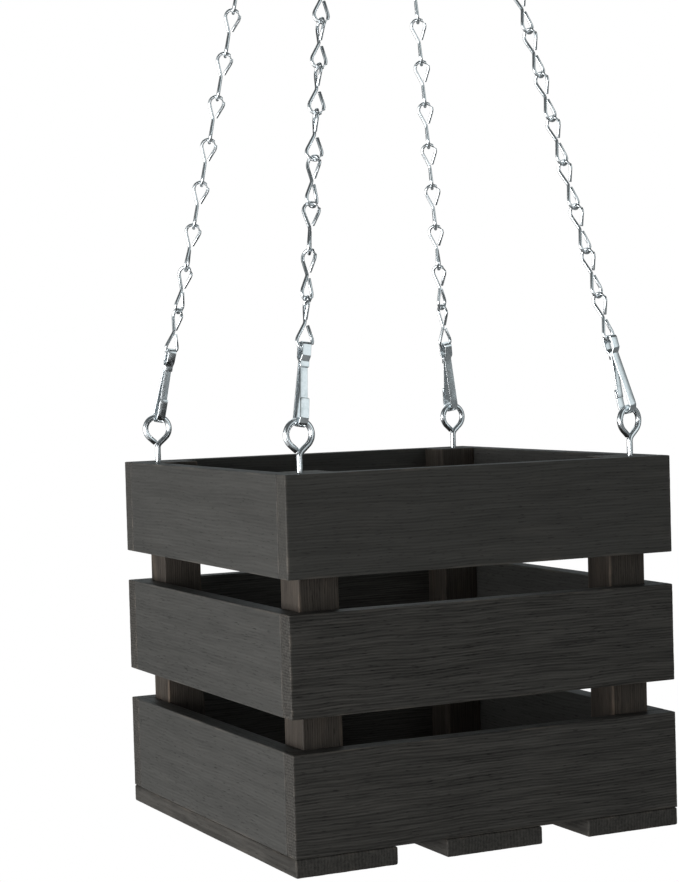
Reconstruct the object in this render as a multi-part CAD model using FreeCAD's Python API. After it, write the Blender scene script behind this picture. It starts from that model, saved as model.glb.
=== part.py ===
import FreeCAD, Part
import math
import os

# A slatted wooden basket that hangs on four chains.
# Millimetres. +Z up, the front face towards -Y, the left face towards -X.
# Origin: the point inside the top hook that rests on whatever the basket hangs from.

# crate
crate_width = 203.2
crate_depth = 203.2
tier_count = 3
board_height = 46.6
board_thickness = 9.5
tier_gap = 15.3
post_side = 20.0
slat_count = 3
slat_width = 51.0
slat_thickness = 8.5
edge_round = 0.8
slat_round = 1.8

# brads that hold the crate together
brad_diameter = 1.4
brad_length = 22.0
brad_head_diameter = 2.4
brad_head_thickness = 0.8
face_brad_share = 0.25      # height of a front or back board's brads, as a share of the board
side_brad_share = 0.36      # the side boards' brads pass above or below those
floor_brad_share = 0.75     # across the post, how far in its brad through the slat goes up
floor_brad_spacing = 24.0   # between the two brads at each end of the middle slat

# screw eyes
eye_in_post = 4.2           # from the post's two outer faces to the middle of the shank
eye_wire = 2.9
eye_radius = 6.3
eye_centre_height = 17.0
eye_neck_height = 8.6
eye_neck_bend = 3.5
eye_depth = 15.0
eye_tip_length = 3.0
eye_tip_radius = 0.2
eye_end_gap = 0.15
eye_turn = {"front_left": 0.0, "front_right": 12.0, "back_left": -6.0, "back_right": 4.0}

# snap clips, measured up the clip from the middle of the screw eye's wire
clip_thickness = 0.8
clip_width = 4.3
clip_half_spread = 4.2
clip_bend = 4.0
clip_nose_reach = 9.8
clip_nose_lean = 0.75
clip_neck_height = 27.2
clip_neck_half = 0.95
clip_eye_height = 8.5
clip_eye_half_width = 2.7
clip_eye_rise = 2.2
clip_eye_bend = 1.6
clip_neck_bend = 1.0
clip_tail_length = 2.8
clip_tail_lean = 0.4
gate_thickness = 0.5
gate_width = 3.6
gate_root_offset = 0.2
gate_root_height = 0.8
gate_tip_offset = 2.95
gate_tip_height = 5.5

# jack chain
link_pitch = 22.2
link_wire = 1.6
link_bend = 3.6
link_count = 22
link_waist_offset = 0.25
link_end_offset = 0.62
link_end_cut = 1.15
link_waist_bend = 3.0
chain_gap = 0.2             # slack between two pieces of wire that hang on each other
turned_link_slack = 0.25    # more of it in the clip's eye, where the lowest link may lie turned
turn_ease = 15.0            # most that a link turns back towards square, past the listed ones
link_turns = {              # turn of the lowest links about the chain, from the clip up
    "front_left": [-10, 28, 62, 26, -12, -5],
    "front_right": [20] * 9,
    "back_left": [14, 36, 58] + [69] * 6,
    "back_right": [10, 32, 54] + [66] * 6,
}

# ring and hook at the top
ring_wire = 3.0
ring_radius = 15.0
ring_front_spot = 1.8       # from the middle of the ring to each front chain
ring_back_spot = 4.1
hook_wire = 3.5
hook_mouth_radius = 9.75
hook_loop_radius = 6.25
hook_centres = 18.0
hook_tip_angle = 195.0

corners = {"front_left": (-1, -1), "front_right": (1, -1), "back_left": (-1, 1), "back_right": (1, 1)}
tier_names = ["bottom", "middle", "top"]

loop_runs = 4               # straight runs that a bent loop's arcs are fitted to
settle_rounds = 40          # rounds in which a strand finds its place on the screw eye
hair = 1e-4                 # lengths under this count as none

os.makedirs("parts", exist_ok=True)


def vec(x, y, z):
    return FreeCAD.Vector(x, y, z)


def save(name, shape):
    shape.exportStep("parts/" + name + ".step")


def rise_inside(radius, width):
    """How far the inside of a curve of that radius rises across a flat strip's half width."""
    return radius - math.sqrt(radius ** 2 - (width / 2) ** 2)


def bent_path(points, radii):
    """Straight runs through the points, joined by tangent arcs of the given radii."""
    edges = []
    last = points[0]
    for before, corner, after, radius in zip(points, points[1:], points[2:], radii):
        arriving = (corner - before).normalize()
        leaving = (after - corner).normalize()
        turn = arriving.getAngle(leaving)
        reach = radius * math.tan(turn / 2)
        start = corner - arriving * reach
        end = corner + leaving * reach
        inward = (leaving - arriving).normalize()
        middle = corner + inward * (radius / math.cos(turn / 2) - radius)
        if (start - last).Length > hair:
            edges.append(Part.LineSegment(last, start).toShape())
            last = start
        edges.append(Part.Arc(last, middle, end).toShape())
        last = end
    if (points[-1] - last).Length > hair:
        edges.append(Part.LineSegment(last, points[-1]).toShape())
    return Part.Wire(edges)


def round_rod(points, radii, diameter):
    """Round wire bent along the points."""
    path = bent_path(points, radii)
    section = Part.Circle(points[0], points[1] - points[0], diameter / 2).toShape()
    return path.makePipeShell([Part.Wire([section])], True, False)


def flat_strip(points, radii, thickness, width):
    """Flat strip bent along the points in the XZ plane, its width along Y."""
    path = bent_path(points, radii)
    along = (points[1] - points[0]).normalize()
    across = vec(-along.z, 0, along.x) * (thickness / 2)
    side = vec(0, width / 2, 0)
    outline = [across + side, across - side, -across - side, -across + side]
    outline = [points[0] + corner for corner in outline]
    section = Part.makePolygon(outline + outline[:1])
    return path.makePipeShell([section], True, False)


def arc_corners(centre, radius, start, end):
    """Corners of the runs that just touch an arc, as (across, up) pairs; angles in radians."""
    step = (end - start) / loop_runs
    reach = radius / math.cos(step / 2)
    angles = [start + step * (index + 0.5) for index in range(loop_runs)]
    return [(centre[0] + reach * math.cos(a), centre[1] + reach * math.sin(a)) for a in angles]


def teardrop(right_foot, left_foot, centre_height, radius):
    """Corners of a loop drawn from the right foot, over the top and down to the left foot.

    Both feet stand at height 0 and the loop's round top is centred above 0.
    """
    right_lean = math.atan2(-right_foot, centre_height)
    right_lean += math.asin(radius / math.hypot(right_foot, centre_height))
    left_lean = math.atan2(-left_foot, centre_height)
    left_lean -= math.asin(radius / math.hypot(left_foot, centre_height))
    return arc_corners((0, centre_height), radius, -right_lean, math.pi - left_lean)


def placed(shape, base, across, up):
    """A copy of the shape with its X laid along across, its Z along up and its origin at base."""
    side = up.cross(across)
    matrix = FreeCAD.Matrix(across.x, side.x, up.x, base.x,
                            across.y, side.y, up.y, base.y,
                            across.z, side.z, up.z, base.z,
                            0, 0, 0, 1)
    copy = shape.copy()
    copy.Placement = FreeCAD.Placement(matrix)
    return copy


# ---- places that the hardware shares ----

eye_x = crate_width / 2 - board_thickness - eye_in_post
eye_y = crate_depth / 2 - board_thickness - eye_in_post
eye_shank_depth = eye_depth - eye_tip_length

hook_top_centre_z = hook_wire / 2 - hook_mouth_radius
hook_loop_centre_z = hook_top_centre_z - hook_centres
hook_bottom_z = hook_loop_centre_z - hook_loop_radius

ring_centre_z = hook_bottom_z + (hook_wire + ring_wire) / 2 + chain_gap - ring_radius

eye_rise = rise_inside(eye_radius - eye_wire / 2, clip_width)
clip_bottom = -(eye_wire / 2 + chain_gap + clip_thickness / 2 + eye_rise)
clip_eye_top = clip_neck_height + clip_eye_height
link_rise = rise_inside(link_bend - link_wire / 2, clip_width) + turned_link_slack
first_link = clip_eye_top - clip_thickness / 2 - chain_gap - link_wire / 2 - link_rise
link_half = (link_pitch + link_wire + chain_gap) / 2
strand_length = first_link + link_count * link_pitch + (link_wire - ring_wire) / 2


def ring_spot(name):
    """Middle of the ring's wire where the named corner's chain hangs."""
    side, depth = corners[name]
    x = side * (ring_front_spot if depth < 0 else ring_back_spot)
    return vec(x, 0, ring_centre_z - math.sqrt(ring_radius ** 2 - x ** 2))


def strand_start(eye_centre, turn, pull):
    """Where on the screw eye's ring a strand that pulls that way settles."""
    level = vec(math.cos(math.radians(turn)), math.sin(math.radians(turn)), 0)
    outward = level * pull.dot(level) + vec(0, 0, pull.z)
    return eye_centre + outward.normalize() * eye_radius


def eye_centre_z():
    """Height of the screw eyes' centres: the front left chain at exactly its own length."""
    spot = ring_spot("front_left")
    centre = vec(-eye_x, -eye_y, spot.z - strand_length)
    for _ in range(settle_rounds):
        pull = (spot - centre).normalize()
        start = strand_start(centre, eye_turn["front_left"], pull)
        centre.z += (spot - start).Length - strand_length
    return centre.z


eye_z = eye_centre_z()
rim_z = eye_z - eye_centre_height
crate_height = slat_thickness + tier_count * board_height + (tier_count - 1) * tier_gap
floor_z = rim_z - crate_height
slat_top_z = floor_z + slat_thickness


def strand(name):
    """Start on the screw eye, direction and exact length of one corner's clip and chain."""
    side, depth = corners[name]
    centre = vec(side * eye_x, depth * eye_y, eye_z)
    spot = ring_spot(name)
    start = centre + vec(0, 0, eye_radius)
    for _ in range(settle_rounds):
        start = strand_start(centre, eye_turn[name], (spot - start).normalize())
    return start, (spot - start).normalize(), (spot - start).Length


def clip_frame(name):
    """Base, spread direction and long direction of a corner's clip.

    The left clips open towards the front and the right ones towards the back.
    """
    start, pull = strand(name)[:2]
    turn = math.radians(eye_turn[name])
    level = vec(math.cos(turn), math.sin(turn), 0)
    spread = pull.cross(level).normalize() * -corners[name][0]
    return start, spread, pull


# ---- crate ----

def tier_bottom(tier):
    return slat_top_z + tier * (board_height + tier_gap)


def brad(head, direction):
    """One brad with its head's face at head, driven along direction."""
    shank = Part.makeCylinder(brad_diameter / 2, brad_length, head, direction)
    cap = Part.makeCylinder(brad_head_diameter / 2, brad_head_thickness, head, direction)
    return shank.fuse(cap)


def wall_brads(along_x):
    """Brads of one wall pair, as {side: [brads]}; along_x picks the left and right walls."""
    post_middle = board_thickness + post_side / 2
    share = side_brad_share if along_x else face_brad_share
    found = {-1: [], 1: []}
    for side in found:
        for end in (-1, 1):
            for tier in range(tier_count):
                for level in (share, 1 - share):
                    z = tier_bottom(tier) + level * board_height
                    if along_x:
                        head = vec(side * crate_width / 2, end * (crate_depth / 2 - post_middle), z)
                        drive = vec(-side, 0, 0)
                    else:
                        head = vec(end * (crate_width / 2 - post_middle), side * crate_depth / 2, z)
                        drive = vec(0, -side, 0)
                    found[side].append(brad(head, drive))
    return found


def floor_brads():
    """One brad up into each post, and two at each end of the middle slat."""
    post_spot = board_thickness + post_side * floor_brad_share
    found = []
    for side, depth in corners.values():
        x = side * (crate_width / 2 - post_spot)
        y = depth * (crate_depth / 2 - post_spot)
        found.append(brad(vec(x, y, floor_z), vec(0, 0, 1)))
        x = side * floor_brad_spacing / 2
        y = depth * (crate_depth - board_thickness) / 2
        found.append(brad(vec(x, y, floor_z), vec(0, 0, 1)))
    return found


face_brads = wall_brads(False)
side_brads = wall_brads(True)
brads = {
    "brads_front": face_brads[-1],
    "brads_back": face_brads[1],
    "brads_left": side_brads[-1],
    "brads_right": side_brads[1],
    "brads_floor": floor_brads(),
}
every_brad = Part.makeCompound([one for group in brads.values() for one in group])


def timber(low, size, radius):
    """A piece of wood with eased long edges and the brads' holes."""
    longest = max(size)
    block = Part.makeBox(size[0], size[1], size[2], low)
    long_edges = [edge for edge in block.Edges if abs(edge.Length - longest) < hair]
    return block.makeFillet(radius, long_edges).cut(every_brad)


def make_boards():
    """The front and back boards run the full width and the side boards fit between them."""
    side_length = crate_depth - 2 * board_thickness
    for tier, tier_name in enumerate(tier_names):
        z = tier_bottom(tier)
        face_size = (crate_width, board_thickness, board_height)
        side_size = (board_thickness, side_length, board_height)
        front = vec(-crate_width / 2, -crate_depth / 2, z)
        back = vec(-crate_width / 2, crate_depth / 2 - board_thickness, z)
        left = vec(-crate_width / 2, -side_length / 2, z)
        right = vec(crate_width / 2 - board_thickness, -side_length / 2, z)
        save("front_board_" + tier_name, timber(front, face_size, edge_round))
        save("back_board_" + tier_name, timber(back, face_size, edge_round))
        save("left_board_" + tier_name, timber(left, side_size, edge_round))
        save("right_board_" + tier_name, timber(right, side_size, edge_round))


def make_slats():
    """Floor slats, front to back, the outer two flush with the sides."""
    step = (crate_width - slat_width) / (slat_count - 1)
    for index, name in enumerate(["left", "middle", "right"]):
        low = vec(-crate_width / 2 + index * step, -crate_depth / 2, floor_z)
        save("floor_slat_" + name, timber(low, (slat_width, crate_depth, slat_thickness), slat_round))


def make_posts():
    """Square corner posts inside the boards, from the slats to the rim, drilled for the eyes."""
    for name, (side, depth) in corners.items():
        x = side * (crate_width / 2 - board_thickness - post_side / 2) - post_side / 2
        y = depth * (crate_depth / 2 - board_thickness - post_side / 2) - post_side / 2
        size = (post_side, post_side, rim_z - slat_top_z)
        post = timber(vec(x, y, slat_top_z), size, edge_round)
        pilot_base = vec(side * eye_x, depth * eye_y, rim_z)
        pilot = Part.makeCylinder(eye_wire / 2, eye_shank_depth, pilot_base, vec(0, 0, -1))
        tip = screw_tip(pilot_base - vec(0, 0, eye_shank_depth))
        save("corner_post_" + name, post.cut(pilot).cut(tip))


# ---- screw eyes ----

def screw_tip(base):
    """The cone at a screw eye's lower end, its wide end at base."""
    return Part.makeCone(eye_wire / 2, eye_tip_radius, eye_tip_length, base, vec(0, 0, -1))


def screw_eye():
    """A screw eye standing on the rim at the origin, its ring in the XZ plane."""
    rise = eye_centre_height - eye_neck_height
    lean = math.asin(eye_radius / rise)
    loop = teardrop(0, 0, rise, eye_radius)
    end_reach = (eye_wire / 2 + eye_end_gap) / math.sin(2 * lean)
    end = (-end_reach * math.sin(lean), end_reach * math.cos(lean))
    flat = [(0, 0)] + loop + [end]
    points = [vec(0, 0, -eye_shank_depth)]
    points += [vec(x, 0, z + eye_neck_height) for x, z in flat]
    radii = [eye_neck_bend] + [eye_radius] * len(loop)
    wire = round_rod(points, radii, eye_wire)
    return wire.fuse(screw_tip(points[0])).removeSplitter()


def make_screw_eyes():
    eye = screw_eye()
    for name, (side, depth) in corners.items():
        turn = math.radians(eye_turn[name])
        base = vec(side * eye_x, depth * eye_y, rim_z)
        save("screw_eye_" + name, placed(eye, base, vec(math.cos(turn), math.sin(turn), 0), vec(0, 0, 1)))


# ---- snap clips ----

def clip_body():
    """The clip's strip: nose, hook, long leg, eye and the tail that holds the gate's root."""
    eye_low = clip_neck_height + clip_eye_rise
    route = [
        (-clip_half_spread + clip_nose_lean, clip_nose_reach, 0),
        (-clip_half_spread, clip_bottom, clip_bend),
        (clip_half_spread, clip_bottom, clip_bend),
        (clip_neck_half, clip_neck_height, clip_neck_bend),
        (clip_eye_half_width, eye_low, clip_neck_bend),
        (clip_eye_half_width, clip_eye_top, clip_eye_bend),
        (-clip_eye_half_width, clip_eye_top, clip_eye_bend),
        (-clip_eye_half_width, eye_low, clip_neck_bend),
        (-clip_neck_half, clip_neck_height, clip_neck_bend),
        (-clip_neck_half - clip_tail_lean, clip_neck_height - clip_tail_length, 0),
    ]
    points = [vec(x, 0, z) for x, z, radius in route]
    radii = [radius for x, z, radius in route[1:-1]]
    return flat_strip(points, radii, clip_thickness, clip_width)


def clip_gate():
    """The spring leaf that closes the clip, from its root in the neck to inside the nose."""
    top = vec(-gate_root_offset, 0, clip_neck_height + gate_root_height)
    root = vec(-gate_root_offset, 0, clip_neck_height)
    tip = vec(-gate_tip_offset, 0, gate_tip_height)
    return flat_strip([top, root, tip], [clip_neck_bend], gate_thickness, gate_width)


def make_clips():
    body = clip_body()
    gate = clip_gate()
    for name in corners:
        base, spread, pull = clip_frame(name)
        save("clip_body_" + name, placed(body, base, spread, pull))
        save("clip_gate_" + name, placed(gate, base, spread, pull))
        pivot = base + pull * clip_neck_height - spread * gate_root_offset
        axis = spread.cross(pull)
        print("gate", name, [round(c, 4) for c in pivot], [round(c, 6) for c in axis])
        print("clip", name, *[[round(c, 5) for c in item] for item in (base, spread, pull)])


# ---- chains ----

def chain_link():
    """One link: an upper loop in XZ and a lower loop in YZ, crossing at a waist at the origin."""
    waist = vec(link_waist_offset, link_waist_offset, 0)
    slant = math.hypot(link_half, link_waist_offset)
    centre = slant - link_bend
    loop = teardrop(link_waist_offset, -link_end_offset, centre, link_bend)
    lean = math.atan2(link_bend - link_end_offset, centre)
    end = (-link_end_offset - link_end_cut * math.tan(lean), link_end_cut)
    up_share = link_half / slant
    side_share = link_waist_offset / slant

    def upper(x, t):
        return vec(x, link_waist_offset - t * side_share, t * up_share)

    def lower(y, t):
        return vec(link_waist_offset - t * side_share, y, -t * up_share)

    points = [upper(*end)] + [upper(*corner) for corner in reversed(loop)] + [waist]
    points += [lower(*corner) for corner in loop] + [lower(*end)]
    radii = [link_bend] * len(loop) + [link_waist_bend] + [link_bend] * len(loop)
    return round_rod(points, radii, link_wire)


def turns_of(name):
    """Turn of each link about its chain: the listed ones, then easing back to square."""
    turns = list(link_turns[name])
    while len(turns) < link_count:
        last = turns[-1]
        turns.append(math.copysign(max(abs(last) - turn_ease, 0), last))
    return turns


def make_chains():
    link = chain_link()
    for name in corners:
        start, pull, length = strand(name)
        pitch = link_pitch + (length - strand_length) / link_count
        square = pull.cross(vec(1, 0, 0)).normalize()
        links = []
        for index, turn in enumerate(turns_of(name)):
            across = FreeCAD.Rotation(pull, turn).multVec(square)
            middle = start + pull * (first_link + index * pitch + link_half)
            links.append(placed(link, middle, across, pull))
        save("chain_" + name, Part.makeCompound(links))


# ---- ring and hook ----

def make_ring():
    ring = Part.makeTorus(ring_radius, ring_wire / 2, vec(0, 0, ring_centre_z), vec(0, 1, 0))
    save("hanging_ring", ring)


def make_hook():
    """An S hook in the YZ plane: an open mouth above and a loop closed round the ring below."""
    cross = math.asin((hook_mouth_radius + hook_loop_radius) / hook_centres)
    tip = math.radians(hook_tip_angle)
    mouth = arc_corners((0, hook_top_centre_z), hook_mouth_radius, tip, -cross)
    closing = math.acos(1 - (hook_wire + chain_gap) / hook_loop_radius)
    loop_start = math.pi - cross
    loop_end = loop_start + 2 * math.pi - closing
    loop = arc_corners((0, hook_loop_centre_z), hook_loop_radius, loop_start, loop_end)
    tip_point = (hook_mouth_radius * math.cos(tip), hook_top_centre_z + hook_mouth_radius * math.sin(tip))
    end_point = (hook_loop_radius * math.cos(loop_end),
                 hook_loop_centre_z + hook_loop_radius * math.sin(loop_end))
    flat = [tip_point] + mouth + loop + [end_point]
    points = [vec(0, y, z) for y, z in flat]
    radii = [hook_mouth_radius] * len(mouth) + [hook_loop_radius] * len(loop)
    save("s_hook", round_rod(points, radii, hook_wire))


make_boards()
make_slats()
make_posts()
make_screw_eyes()
make_clips()
make_chains()
make_ring()
make_hook()
for group_name, group in brads.items():
    save(group_name, Part.makeCompound(group))

print("rim", round(rim_z, 3), "floor", round(floor_z, 3), "crate height", round(crate_height, 2))
swing_z = ring_centre_z - ring_radius
print("ring swing axis z", round(hook_bottom_z, 3), "basket swing axis z", round(swing_z, 3))
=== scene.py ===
import math

import bpy
import numpy as np
from mathutils import Matrix, Vector


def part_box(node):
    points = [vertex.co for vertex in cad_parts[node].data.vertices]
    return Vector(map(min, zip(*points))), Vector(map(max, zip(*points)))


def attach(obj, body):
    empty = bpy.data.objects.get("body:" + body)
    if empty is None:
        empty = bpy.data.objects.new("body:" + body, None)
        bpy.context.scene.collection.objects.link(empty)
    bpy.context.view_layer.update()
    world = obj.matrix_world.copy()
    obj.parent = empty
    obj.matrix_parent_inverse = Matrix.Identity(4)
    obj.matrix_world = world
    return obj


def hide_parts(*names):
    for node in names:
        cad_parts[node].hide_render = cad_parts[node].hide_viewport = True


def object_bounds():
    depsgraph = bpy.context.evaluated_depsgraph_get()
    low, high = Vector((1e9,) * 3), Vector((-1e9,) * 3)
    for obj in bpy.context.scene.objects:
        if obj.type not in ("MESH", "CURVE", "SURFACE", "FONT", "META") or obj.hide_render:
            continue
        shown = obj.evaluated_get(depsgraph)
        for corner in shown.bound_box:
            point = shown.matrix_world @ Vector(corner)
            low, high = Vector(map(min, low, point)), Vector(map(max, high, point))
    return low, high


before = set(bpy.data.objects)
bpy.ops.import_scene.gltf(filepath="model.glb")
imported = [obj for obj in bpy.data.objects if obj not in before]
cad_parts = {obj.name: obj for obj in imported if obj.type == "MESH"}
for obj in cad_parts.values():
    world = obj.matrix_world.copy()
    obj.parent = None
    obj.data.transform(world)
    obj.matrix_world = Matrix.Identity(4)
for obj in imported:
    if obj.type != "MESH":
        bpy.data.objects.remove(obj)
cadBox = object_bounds()

mm = 0.001
walls = ("front", "back", "left", "right")
tiers = ("bottom", "middle", "top")
corners = {"front_left": (-1, -1), "front_right": (1, -1), "back_left": (-1, 1), "back_right": (1, 1)}
samePlace = 1e-6      # points closer than this are one


def camel(name):
    words = name.split("_")
    return words[0] + "".join(word.capitalize() for word in words[1:])


def middleOf(node):
    low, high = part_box(node)
    return (low + high) / 2


def newObject(name, data):
    made = bpy.data.objects.new(name, data)
    bpy.context.scene.collection.objects.link(made)
    return made


def storeVectors(mesh, label, values):
    field = mesh.attributes.new(label, "FLOAT_VECTOR", "POINT")
    field.data.foreach_set("vector", np.array(values, np.float32).ravel())


def settle(piece, body, node):
    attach(piece, body)
    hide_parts(node)


# an input is either a value or another node's output
def addNode(tree, kind, inputs=None, **settings):
    node = tree.nodes.new(kind)
    for key, value in settings.items():
        setattr(node, key, value)
    for key, value in (inputs or {}).items():
        if isinstance(value, bpy.types.NodeSocket):
            tree.links.new(value, node.inputs[key])
        else:
            node.inputs[key].default_value = value
    return node


def math2(tree, operation, first, second):
    return addNode(tree, "ShaderNodeMath", {0: first, 1: second}, operation=operation).outputs[0]


def vector2(tree, operation, first, second=(0.0, 0.0, 0.0)):
    return addNode(tree, "ShaderNodeVectorMath", {0: first, 1: second}, operation=operation).outputs[0]


def combined(tree, x=0.0, y=0.0, z=0.0):
    return addNode(tree, "ShaderNodeCombineXYZ", {0: x, 1: y, 2: z}).outputs[0]


def weighted(tree, first, firstShare, second, secondShare):
    return math2(tree, "ADD", math2(tree, "MULTIPLY", first, firstShare),
                 math2(tree, "MULTIPLY", second, secondShare))


def rampBetween(tree, value, low, high, toLow=0.0, toHigh=1.0):
    inputs = {0: value, 1: low, 2: high, 3: toLow, 4: toHigh}
    return addNode(tree, "ShaderNodeMapRange", inputs, interpolation_type="SMOOTHSTEP").outputs[0]


def noiseAt(tree, spot, detail, roughness=0.5):
    inputs = {"Vector": spot, "Scale": 1.0, "Detail": detail, "Roughness": roughness}
    return addNode(tree, "ShaderNodeTexNoise", inputs).outputs[0]


def mixedColour(tree, share, first, second):
    return addNode(tree, "ShaderNodeMix", {"Factor": share, 6: first, 7: second}, data_type="RGBA").outputs[2]


def newTree(name, kind, inputs, outputs):
    tree = bpy.data.node_groups.new(name, kind)
    for way, sockets in (("INPUT", inputs), ("OUTPUT", outputs)):
        for label, socketType in sockets:
            tree.interface.new_socket(label, in_out=way, socket_type="NodeSocket" + socketType)
    entry = tree.nodes.new("NodeGroupInput")
    leave = tree.nodes.new("NodeGroupOutput")
    return tree, entry.outputs, leave.inputs


def storeField(tree, geometry, name, value, kind):
    inputs = {"Geometry": geometry, "Name": name, "Value": value}
    return addNode(tree, "GeometryNodeStoreNamedAttribute", inputs, data_type=kind, domain="POINT").outputs[0]


def storedField(tree, name, kind):
    return addNode(tree, "GeometryNodeInputNamedAttribute", {"Name": name}, data_type=kind).outputs[0]


def endTree(tree, geometry, given, result, smooth=True):
    real = addNode(tree, "GeometryNodeRealizeInstances", {"Geometry": geometry}).outputs[0]
    shaded = addNode(tree, "GeometryNodeSetShadeSmooth", {"Geometry": real, "Shade Smooth": smooth})
    dressed = addNode(tree, "GeometryNodeSetMaterial", {
        "Geometry": shaded.outputs[0], "Material": given["Material"]})
    tree.links.new(dressed.outputs[0], result["Geometry"])
    return tree


def grownMesh(name, tree, values, base):
    piece = newObject(name, base)
    modifier = piece.modifiers.new(name, "NODES")
    modifier.node_group = tree
    sockets = {item.name: item.identifier for item in tree.interface.items_tree if item.in_out == "INPUT"}
    for label, value in values.items():
        modifier[sockets[label]] = value
    piece.update_tag()
    depsgraph = bpy.context.evaluated_depsgraph_get()
    made = piece.evaluated_get(depsgraph)
    mesh = bpy.data.meshes.new_from_object(made, preserve_all_data_layers=True, depsgraph=depsgraph)
    piece.modifiers.clear()
    piece.data = mesh
    mesh.name = name
    return piece


# the finishes: dark stain on wood, and bright zinc on drawn wire

grainPattern = {
    "sway": 0.0028, "swaysPerMetre": (22, 60, 60), "bandsPerMetre": (7, 150, 150),
    "poresPerMetre": (190, 2300, 2300), "patchesPerMetre": (45, 130, 130),
    "rowScale": math.pi / 10 / 1.25,      # rows 1.25 pitches apart: a wave's period is pi / 10 / scale
    "rowShare": 0.4, "rowDistortion": 2.6, "rowDetail": 1.5, "rowDetailScale": 0.25,
    "ridgeRamp": (0.3, 0.7), "bandRamp": (0.25, 0.75), "poreRamp": (0.62, 0.74), "wornRamp": (0.42, 0.68),
    "thinRamp": (0.5, 0.8), "bandTone": 0.16, "poreTone": 0.45, "wornWidth": 0.0016, "wornShare": 0.55,
    "rough": 0.5, "ridgeRough": -0.12, "bandRough": 0.08, "poreRough": 0.2,
    "ridgeHeight": 0.7, "poreHeight": 0.3,
}


# how often the pattern repeats in a metre, across the grain and in all three directions
def ridgeStretch(tree, given):
    across = math2(tree, "DIVIDE", 1.0, given["Ridge Pitch"])
    return across, combined(tree, math2(tree, "DIVIDE", 1.0, given["Ridge Run"]), across, across)


def grainRidges(tree, given, place):
    across, stretch = ridgeStretch(tree, given)
    look = grainPattern
    broken = noiseAt(tree, vector2(tree, "MULTIPLY", place, stretch), 2.5, 0.55)
    rows = addNode(tree, "ShaderNodeTexWave", {
        "Vector": place, "Scale": math2(tree, "MULTIPLY", across, look["rowScale"]),
        "Distortion": look["rowDistortion"], "Detail": look["rowDetail"],
        "Detail Scale": look["rowDetailScale"]}, bands_direction="Z").outputs["Fac"]
    broken = rampBetween(tree, broken, *look["ridgeRamp"])
    return weighted(tree, broken, 1 - look["rowShare"], rows, look["rowShare"])


def stainedGrainGroup():
    tree, given, result = newTree("stainedGrain", "ShaderNodeTree", [
        ("Place", "Vector"), ("Edge Gap", "Float"), ("Stain", "Color"), ("Thin Stain", "Color"),
        ("Ridge Pitch", "Float"), ("Ridge Run", "Float"), ("Ridge Contrast", "Float"),
        ("Thin Amount", "Float"),
    ], [("Color", "Color"), ("Roughness", "Float"), ("Height", "Float")])
    look = grainPattern

    def pattern(place, perMetre, detail):
        return noiseAt(tree, vector2(tree, "MULTIPLY", place, look[perMetre]), detail)

    def scaled(value, share):
        return math2(tree, "MULTIPLY", value, share)

    sway = scaled(pattern(given["Place"], "swaysPerMetre", 1.0), look["sway"])
    swayed = vector2(tree, "ADD", given["Place"], combined(tree, z=sway))
    ridges = grainRidges(tree, given, swayed)
    bands = rampBetween(tree, pattern(swayed, "bandsPerMetre", 2.0), *look["bandRamp"])
    pores = rampBetween(tree, pattern(given["Place"], "poresPerMetre", 1.0), *look["poreRamp"])
    patch = pattern(given["Place"], "patchesPerMetre", 3.0)

    # stain wears thin in patches, mostly along the edges
    worn = rampBetween(tree, given["Edge Gap"], 0.0, look["wornWidth"], 1.0, 0.0)
    worn = math2(tree, "MULTIPLY", worn, rampBetween(tree, patch, *look["wornRamp"]))
    worn = scaled(worn, look["wornShare"])
    thin = math2(tree, "MULTIPLY", rampBetween(tree, patch, *look["thinRamp"]), given["Thin Amount"])
    thin = addNode(tree, "ShaderNodeMath", {0: worn, 1: thin}, operation="ADD", use_clamp=True).outputs[0]
    stain = mixedColour(tree, thin, given["Stain"], given["Thin Stain"])

    tone = weighted(tree, math2(tree, "SUBTRACT", ridges, 0.5), given["Ridge Contrast"],
                    math2(tree, "SUBTRACT", bands, 0.5), look["bandTone"])
    tone = math2(tree, "SUBTRACT", math2(tree, "ADD", tone, 1.0), scaled(pores, look["poreTone"]))
    toned = addNode(tree, "ShaderNodeVectorMath", {0: stain, 3: tone}, operation="SCALE").outputs[0]
    rough = weighted(tree, ridges, look["ridgeRough"], bands, look["bandRough"])
    rough = math2(tree, "ADD", rough, scaled(pores, look["poreRough"]))
    height = math2(tree, "SUBTRACT", scaled(ridges, look["ridgeHeight"]), scaled(pores, look["poreHeight"]))
    tree.links.new(toned, result["Color"])
    tree.links.new(math2(tree, "ADD", rough, look["rough"]), result["Roughness"])
    tree.links.new(height, result["Height"])
    return tree


zincPattern = {
    "linesPerMetre": (120, 3000, 3000), "bloomsPerMetre": (330, 420, 420), "bloomRamp": (0.4, 0.75),
    "bloomRough": 0.08, "lineRough": 0.06, "lineHeight": 0.6, "bloomHeight": 0.4,
}


def drawnZincGroup():
    tree, given, result = newTree("drawnZinc", "ShaderNodeTree", [
        ("Place", "Vector"), ("Bright", "Color"), ("Dull", "Color"), ("Polish", "Float"),
    ], [("Color", "Color"), ("Roughness", "Float"), ("Height", "Float")])
    look = zincPattern
    lines = noiseAt(tree, vector2(tree, "MULTIPLY", given["Place"], look["linesPerMetre"]), 2.0)
    bloom = noiseAt(tree, vector2(tree, "MULTIPLY", given["Place"], look["bloomsPerMetre"]), 3.0, 0.6)
    dull = rampBetween(tree, bloom, *look["bloomRamp"])
    rough = math2(tree, "ADD", given["Polish"], math2(tree, "MULTIPLY", dull, look["bloomRough"]))
    rough = math2(tree, "ADD", rough, math2(tree, "MULTIPLY", lines, look["lineRough"]))
    tree.links.new(mixedColour(tree, dull, given["Bright"], given["Dull"]), result["Color"])
    tree.links.new(rough, result["Roughness"])
    tree.links.new(weighted(tree, lines, look["lineHeight"], bloom, look["bloomHeight"]), result["Height"])
    return tree


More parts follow.
